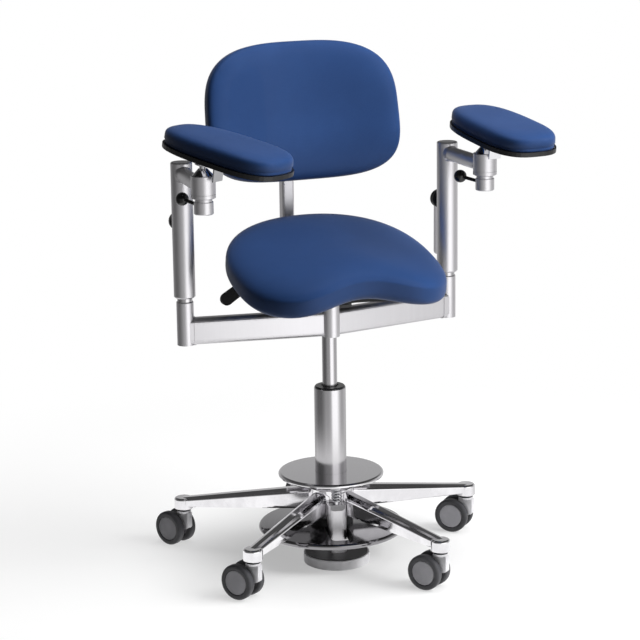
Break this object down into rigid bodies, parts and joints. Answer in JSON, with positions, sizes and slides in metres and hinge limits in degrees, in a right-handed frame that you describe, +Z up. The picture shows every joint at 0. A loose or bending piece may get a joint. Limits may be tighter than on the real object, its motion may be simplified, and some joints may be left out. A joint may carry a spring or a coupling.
{
  "type": "operating stool",
  "caption": "Wheeled surgeon's stool with a saddle seat, adjustable backrest, swivelling arm rests, and foot discs for height and for a floor brake.",
  "frame": {"origin": "on the floor under the column, on the underside of the brake pad; the column axis passes through it", "axes": "+Z up along the column, -Y the way the sitter faces, +X to the sitter's left"},
  "size_m": [0.69, 0.6374, 0.9691],
  "materials": {
    "star": "polished",
    "silver_tube": "satin",
    "steel": "brushed",
    "chrome": "polished",
    "dark_metal": "satin",
    "black_plastic": "satin",
    "fork_grey": "satin",
    "wheel_grey": "matte",
    "pad_rubber": "matte",
    "blue_cover": "satin"
  },
  "bodies": {
    "base": {"star_base": "star", "column_tube": "steel", "column_bush": "black_plastic", "piston_rod": "steel"},
    "castor_1": {"castor_fork_1": "fork_grey"},
    "wheel_1_left": {"castor_wheel_1_left": "wheel_grey"},
    "wheel_1_right": {"castor_wheel_1_right": "wheel_grey"},
    "castor_2": {"castor_fork_2": "fork_grey"},
    "wheel_2_left": {"castor_wheel_2_left": "wheel_grey"},
    "wheel_2_right": {"castor_wheel_2_right": "wheel_grey"},
    "castor_3": {"castor_fork_3": "fork_grey"},
    "wheel_3_left": {"castor_wheel_3_left": "wheel_grey"},
    "wheel_3_right": {"castor_wheel_3_right": "wheel_grey"},
    "castor_4": {"castor_fork_4": "fork_grey"},
    "wheel_4_left": {"castor_wheel_4_left": "wheel_grey"},
    "wheel_4_right": {"castor_wheel_4_right": "wheel_grey"},
    "castor_5": {"castor_fork_5": "fork_grey"},
    "wheel_5_left": {"castor_wheel_5_left": "wheel_grey"},
    "wheel_5_right": {"castor_wheel_5_right": "wheel_grey"},
    "height_pedal": {"height_disc": "steel", "height_plunger": "steel"},
    "brake": {"brake_disc": "steel", "brake_collar": "black_plastic", "brake_post": "silver_tube", "brake_plate": "dark_metal", "brake_pad": "pad_rubber", "height_spring": "steel"},
    "lift": {"gas_cylinder": "steel"},
    "upper": {"arm_frame": "silver_tube", "seat_mechanism": "dark_metal", "back_clamp": "dark_metal"},
    "seat": {"seat_bracket": "dark_metal", "seat_shell": "black_plastic", "seat_cushion": "blue_cover"},
    "tilt_handle": {"tilt_lever": "black_plastic"},
    "mast": {"back_bar": "chrome"},
    "back_screw": {"back_knob": "black_plastic"},
    "back": {"back_bracket": "dark_metal", "back_shell": "black_plastic", "back_cushion": "blue_cover"},
    "right_post": {"right_arm_post": "chrome"},
    "right_arm": {"right_arm_sleeve": "silver_tube"},
    "right_lock": {"right_height_knob": "black_plastic", "right_height_handle": "steel"},
    "right_clamp": {"right_clamp_nut": "steel", "right_clamp_lever": "black_plastic"},
    "right_stem": {"right_pad_spindle": "steel"},
    "right_rest": {"right_pad_socket": "steel", "right_pad_plate": "black_plastic", "right_arm_pad": "blue_cover"},
    "left_post": {"left_arm_post": "chrome"},
    "left_arm": {"left_arm_sleeve": "silver_tube"},
    "left_lock": {"left_height_knob": "black_plastic", "left_height_handle": "steel"},
    "left_clamp": {"left_clamp_nut": "steel", "left_clamp_lever": "black_plastic"},
    "left_stem": {"left_pad_spindle": "steel"},
    "left_rest": {"left_pad_socket": "steel", "left_pad_plate": "black_plastic", "left_arm_pad": "blue_cover"}
  },
  "joints": [
    {"name": "castor_swivel_1", "type": "hinge", "parent": "base", "child": "castor_1", "pos_m": [0.29206, 0.01173, 0.08], "axis": [0, 0, 1], "continuous": true},
    {"name": "wheel_spin_1_left", "type": "hinge", "parent": "castor_1", "child": "wheel_1_left", "pos_m": [0.27511, 0.02886, 0.0332], "axis": [-0.7108, -0.7034, 0], "continuous": true},
    {"name": "wheel_spin_1_right", "type": "hinge", "parent": "castor_1", "child": "wheel_1_right", "pos_m": [0.27511, 0.02886, 0.0332], "axis": [-0.7108, -0.7034, 0], "continuous": true},
    {"name": "castor_swivel_2", "type": "hinge", "parent": "base", "child": "castor_2", "pos_m": [0.0791, 0.28139, 0.08], "axis": [0, 0, 1], "continuous": true},
    {"name": "wheel_spin_2_left", "type": "hinge", "parent": "castor_2", "child": "wheel_2_left", "pos_m": [0.06527, 0.30114, 0.0332], "axis": [-0.8192, -0.5736, 0], "continuous": true},
    {"name": "wheel_spin_2_right", "type": "hinge", "parent": "castor_2", "child": "wheel_2_right", "pos_m": [0.06527, 0.30114, 0.0332], "axis": [-0.8192, -0.5736, 0], "continuous": true},
    {"name": "castor_swivel_3", "type": "hinge", "parent": "base", "child": "castor_3", "pos_m": [-0.24318, 0.16218, 0.08], "axis": [0, 0, 1], "continuous": true},
    {"name": "wheel_spin_3_left", "type": "hinge", "parent": "castor_3", "child": "wheel_3_left", "pos_m": [-0.25401, 0.18371, 0.0332], "axis": [-0.8934, -0.4493, 0], "continuous": true},
    {"name": "wheel_spin_3_right", "type": "hinge", "parent": "castor_3", "child": "wheel_3_right", "pos_m": [-0.25401, 0.18371, 0.0332], "axis": [-0.8934, -0.4493, 0], "continuous": true},
    {"name": "castor_swivel_4", "type": "hinge", "parent": "base", "child": "castor_4", "pos_m": [-0.22939, -0.18116, 0.08], "axis": [0, 0, 1], "continuous": true},
    {"name": "wheel_spin_4_left", "type": "hinge", "parent": "castor_4", "child": "wheel_4_left", "pos_m": [-0.24255, -0.16097, 0.0332], "axis": [-0.8377, -0.5461, 0], "continuous": true},
    {"name": "wheel_spin_4_right", "type": "hinge", "parent": "castor_4", "child": "wheel_4_right", "pos_m": [-0.24255, -0.16097, 0.0332], "axis": [-0.8377, -0.5461, 0], "continuous": true},
    {"name": "castor_swivel_5", "type": "hinge", "parent": "base", "child": "castor_5", "pos_m": [0.10141, -0.27414, 0.08], "axis": [0, 0, 1], "continuous": true},
    {"name": "wheel_spin_5_left", "type": "hinge", "parent": "castor_5", "child": "wheel_5_left", "pos_m": [0.08769, -0.25433, 0.0332], "axis": [-0.8221, -0.5693, 0], "continuous": true},
    {"name": "wheel_spin_5_right", "type": "hinge", "parent": "castor_5", "child": "wheel_5_right", "pos_m": [0.08769, -0.25433, 0.0332], "axis": [-0.8221, -0.5693, 0], "continuous": true},
    {"name": "height_press", "type": "slide", "parent": "base", "child": "height_pedal", "axis": [0, 0, -1], "range_m": [0, 0.008], "stiffness_N_per_m": 5000, "springref_m": -0.008, "deforming": ["height_spring"]},
    {"name": "brake_lift", "type": "slide", "parent": "base", "child": "brake", "axis": [0, 0, 1], "range_m": [0, 0.008], "deforming": ["height_spring"]},
    {"name": "seat_height", "type": "slide", "parent": "base", "child": "lift", "axis": [0, 0, 1], "range_m": [-0.085, 0.085]},
    {"name": "seat_swivel", "type": "hinge", "parent": "lift", "child": "upper", "pos_m": [0, 0, 0.452], "axis": [0, 0, 1], "continuous": true},
    {"name": "seat_tilt", "type": "hinge", "parent": "upper", "child": "seat", "pos_m": [0, 0, 0.5075], "axis": [1, 0, 0], "range_deg": [-12, 4]},
    {"name": "tilt_release", "type": "hinge", "parent": "upper", "child": "tilt_handle", "pos_m": [-0.053, 0.035, 0.5025], "axis": [0, -1, 0], "range_deg": [0, 6], "stiffness_Nm_per_rad": 2, "springref_deg": -11.46},
    {"name": "back_height", "type": "slide", "parent": "upper", "child": "mast", "axis": [0, 0, 1], "range_m": [-0.03, 0.03]},
    {"name": "back_clamp_turn", "type": "hinge", "parent": "upper", "child": "back_screw", "pos_m": [0, 0.23, 0.5065], "axis": [0, 1, 0], "range_deg": [-180, 180]},
    {"name": "back_tilt", "type": "hinge", "parent": "mast", "child": "back", "pos_m": [0, 0.2085, 0.82034], "axis": [1, 0, 0], "range_deg": [-10, 12]},
    {"name": "right_arm_swivel", "type": "hinge", "parent": "upper", "child": "right_post", "pos_m": [-0.2687, 0.04738, 0.48], "axis": [0, 0, 1], "range_deg": [-40, 40]},
    {"name": "right_arm_height", "type": "slide", "parent": "right_post", "child": "right_arm", "axis": [0, 0, 1], "range_m": [-0.005, 0.06]},
    {"name": "right_height_lock", "type": "hinge", "parent": "right_arm", "child": "right_lock", "pos_m": [-0.26577, 0.08025, 0.6575], "axis": [0.0889, 0.996, 0], "range_deg": [0, 70]},
    {"name": "right_pad_lock", "type": "hinge", "parent": "right_arm", "child": "right_clamp", "pos_m": [-0.28292, -0.11199, 0.715], "axis": [0, 0, 1], "range_deg": [-30, 30]},
    {"name": "right_pad_swivel", "type": "hinge", "parent": "right_arm", "child": "right_stem", "pos_m": [-0.28292, -0.11199, 0.751], "axis": [0, 0, 1], "range_deg": [-40, 40]},
    {"name": "right_pad_tilt", "type": "hinge", "parent": "right_stem", "child": "right_rest", "pos_m": [-0.28292, -0.11199, 0.7967], "axis": [0.8746, 0.4848, 0], "range_deg": [-14, 10]},
    {"name": "left_arm_swivel", "type": "hinge", "parent": "upper", "child": "left_post", "pos_m": [0.2687, 0.04738, 0.48], "axis": [0, 0, 1], "range_deg": [-40, 40]},
    {"name": "left_arm_height", "type": "slide", "parent": "left_post", "child": "left_arm", "axis": [0, 0, 1], "range_m": [-0.005, 0.06]},
    {"name": "left_height_lock", "type": "hinge", "parent": "left_arm", "child": "left_lock", "pos_m": [0.26853, 0.08038, 0.6575], "axis": [0.0052, -1, 0], "range_deg": [0, 70]},
    {"name": "left_pad_lock", "type": "hinge", "parent": "left_arm", "child": "left_clamp", "pos_m": [0.26954, -0.11262, 0.715], "axis": [0, 0, 1], "range_deg": [-30, 30]},
    {"name": "left_pad_swivel", "type": "hinge", "parent": "left_arm", "child": "left_stem", "pos_m": [0.26954, -0.11262, 0.751], "axis": [0, 0, 1], "range_deg": [-40, 40]},
    {"name": "left_pad_tilt", "type": "hinge", "parent": "left_stem", "child": "left_rest", "pos_m": [0.26954, -0.11262, 0.7967], "axis": [0.9968, 0.0802, 0], "range_deg": [-14, 10]}
  ]
}
